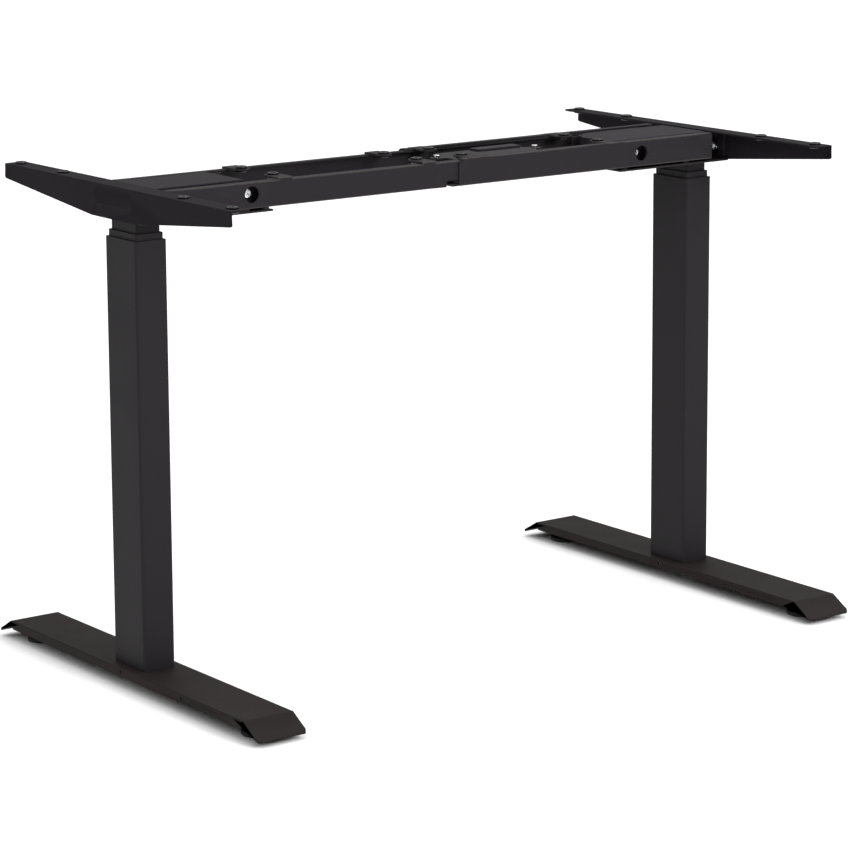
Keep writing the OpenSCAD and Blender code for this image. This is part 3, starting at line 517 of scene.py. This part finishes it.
for side in SIDES:
    s = SIGN[side]
    screw_group(f"{side}_foot_bolts", LOW_M8, [((s * AXIS_X + x, y, FOOT_BOLT_SEAT_Z), UP, 12.5)
                                               for x in FOOT_BOLT_X for y in FOOT_BOLT_Y])
    arm_seats = [(s * ARM_BOLT_SEAT_X, y, ARM_BOLT_Z) for y in ARM_BOLT_Y]
    screw_group(f"{side}_arm_bolts", LOW_M8, [(seat, (s, 0, 0), 3.4) for seat in arm_seats])
    # Caps over the arm bolts' tips, in the arms' darker finish with its painted shade
    painted = bmesh.new()
    for seat in arm_seats:
        lathe(painted, scaled(PAINTED_END), towards(seat, (s, 0, 0)))
    add_piece(f"{side}_arm_bolts_painted_ends", painted, ("powder_arm",), BODY_OF[f"{side}_arm_bolts"])
    screw_group(f"{side}_motor_bolts", HIGH_M8, [((s * ACCESS_X, i * MOTOR_BOLT_SEAT_Y, MOTOR_BOLT_Z),
                                                  (0, -i, 0), 20.0) for i in (-1, 1)])
    screw_group(f"{side}_rail_bolts", LOW_M6, [((s * x, i * RAIL_BOLT_Y, RAIL_BOLT_SEAT_Z), DOWN, 8.7)
                                               for x in PAD_X for i in (-1, 1)])
screw_group("control_screws", LOW_M6,
            [((x, 0.0, BOX_SCREW_SEAT_Z), DOWN, 14.0) for x in STRAP_X]
            + [((x, y, STRAP_SCREW_SEAT_Z), DOWN, 4.2) for x in STRAP_X for y in STRAP_Y])

LOCK_SEAT_Y, LOCK_Z = 51.0, 685.5
bm = bmesh.new()
for way in (-1, 1):
    profile = [(hexagon(4.0), 4.0), (hexagon(4.0), 0.2), (hexagon(4.6), 0.0), (3.4, 0.0),
               *thread(4.0, 0.4, 18.4), (3.4, 19.0)]
    lathe(bm, scaled(profile), towards((LOCK_X, way * LOCK_SEAT_Y, LOCK_Z), (0, way, 0)), 72)
replace("slide_locks", "_turned", bm, (SLOT_OF["slide_locks"],), smooth=SCREW_SMOOTH)


# ---------------------------------------------------------------- glides
PAD_PROFILE = [(19.5, 0.6), (20.0, 0.0), (21.8, 0.0), *arc(21.8, 1.2, 1.2, -90, 0, 4),
               *arc(21.4, 4.4, 1.6, 0, 90, 6), (16.0, 6.0), (15.5, 5.6), (12.0, 5.6), (11.6, 6.0)]
STUD_PROFILE = [(4.4, 5.0), *thread(5.0, 11.0, 26.8, 1.5), (4.3, 27.5)]
NUT_PROFILE = [(8.8, 6.0), (hexagon(19.0), 6.6), (hexagon(19.0), 10.4), (8.8, 11.0), (4.2, 11.0), (4.2, 6.0)]

for side in SIDES:
    for end, y in zip(("front", "rear"), GLIDE_Y):
        node = f"{side}_glide_{end}"
        at = Matrix.Translation((SIGN[side] * AXIS_X * MM, y * MM, 0))
        pad = bmesh.new()
        lathe(pad, scaled(PAD_PROFILE), at, 96)
        replace(node, "_pad", pad, ("rubber_black",), smooth=40.0)
        stud = bmesh.new()
        lathe(stud, scaled(STUD_PROFILE), at, 48)
        lathe(stud, scaled(NUT_PROFILE), at, 48, closed=True)
        add_piece(node + "_stud", stud, ("zinc",), BODY_OF[node], smooth=SCREW_SMOOTH)


# ---------------------------------------------------------------- contacts in the control box
PIN_X = (35.0, 41.4)
PIN_Z = (681.6, 684.4)
PIN_PITCH, PIN_HALF = 2.8, 0.35
PINS = 4                    # in each of a socket's two rows


def block(bm, low, high):
    """A plain block between two corners, in millimetres."""
    size = Vector(high) - Vector(low)
    matrix = Matrix.Translation((Vector(high) + Vector(low)) / 2 * MM) @ Matrix.Diagonal((*(size * MM), 1.0))
    bmesh.ops.create_cube(bm, size=1.0, matrix=matrix)


bm = bmesh.new()
for y in SOCKET_Y:
    for i in range(PINS):
        for z in PIN_Z:
            pin = y + (i - (PINS - 1) / 2) * PIN_PITCH
            block(bm, (PIN_X[0], pin - PIN_HALF, z - PIN_HALF), (PIN_X[1], pin + PIN_HALF, z + PIN_HALF))
add_piece("control_box_pins", bm, ("zinc",), BODY_OF["control_box"])


# ---------------------------------------------------------------- floor and light
FLOOR_HALF = 60.0           # half of the floor's width, in metres
FLOOR_DROP = 0.0002         # the floor lies this far under the glides, in metres
FLOOR_WHITE = 0.95
WORLD_STRENGTH = 0.10


def make_stage():
    bm = bmesh.new()
    bmesh.ops.create_grid(bm, x_segments=2, y_segments=2, size=FLOOR_HALF)
    mesh = bpy.data.meshes.new("floor")
    bm.to_mesh(mesh)
    bm.free()
    floor = bpy.data.objects.new("floor", mesh)
    bpy.context.scene.collection.objects.link(floor)
    floor.location.z = -FLOOR_DROP
    paint = bpy.data.materials.new("floor_paint")
    paint.use_nodes = True
    shader = paint.node_tree.nodes["Principled BSDF"]
    shader.inputs["Base Color"].default_value = (FLOOR_WHITE, FLOOR_WHITE, FLOOR_WHITE, 1.0)
    shader.inputs["Roughness"].default_value = 0.9
    shader.inputs["Specular IOR Level"].default_value = 0.1
    mesh.materials.append(paint)


def area_light(name, place, aim, size, power):
    data = bpy.data.lights.new(name, "AREA")
    data.energy = power
    data.size = size
    light = bpy.data.objects.new(name, data)
    bpy.context.scene.collection.objects.link(light)
    light.location = place
    light.rotation_euler = (Vector(aim) - Vector(place)).to_track_quat("-Z", "Y").to_euler()


def make_lights():
    world = bpy.data.worlds.new("studio")
    world.use_nodes = True
    sky = world.node_tree.nodes["Background"]
    sky.inputs["Color"].default_value = (1.0, 1.0, 1.0, 1.0)
    sky.inputs["Strength"].default_value = WORLD_STRENGTH
    bpy.context.scene.world = world
    area_light("ceiling", (0, 0, 14.0), (0, 0, 0), 60.0, 15400)
    area_light("front", (0.6, -4.9, 3.0), (0, 0, 0.45), 1.8, 130)
    bpy.context.scene.view_settings.view_transform = "Standard"


make_stage()
make_lights()
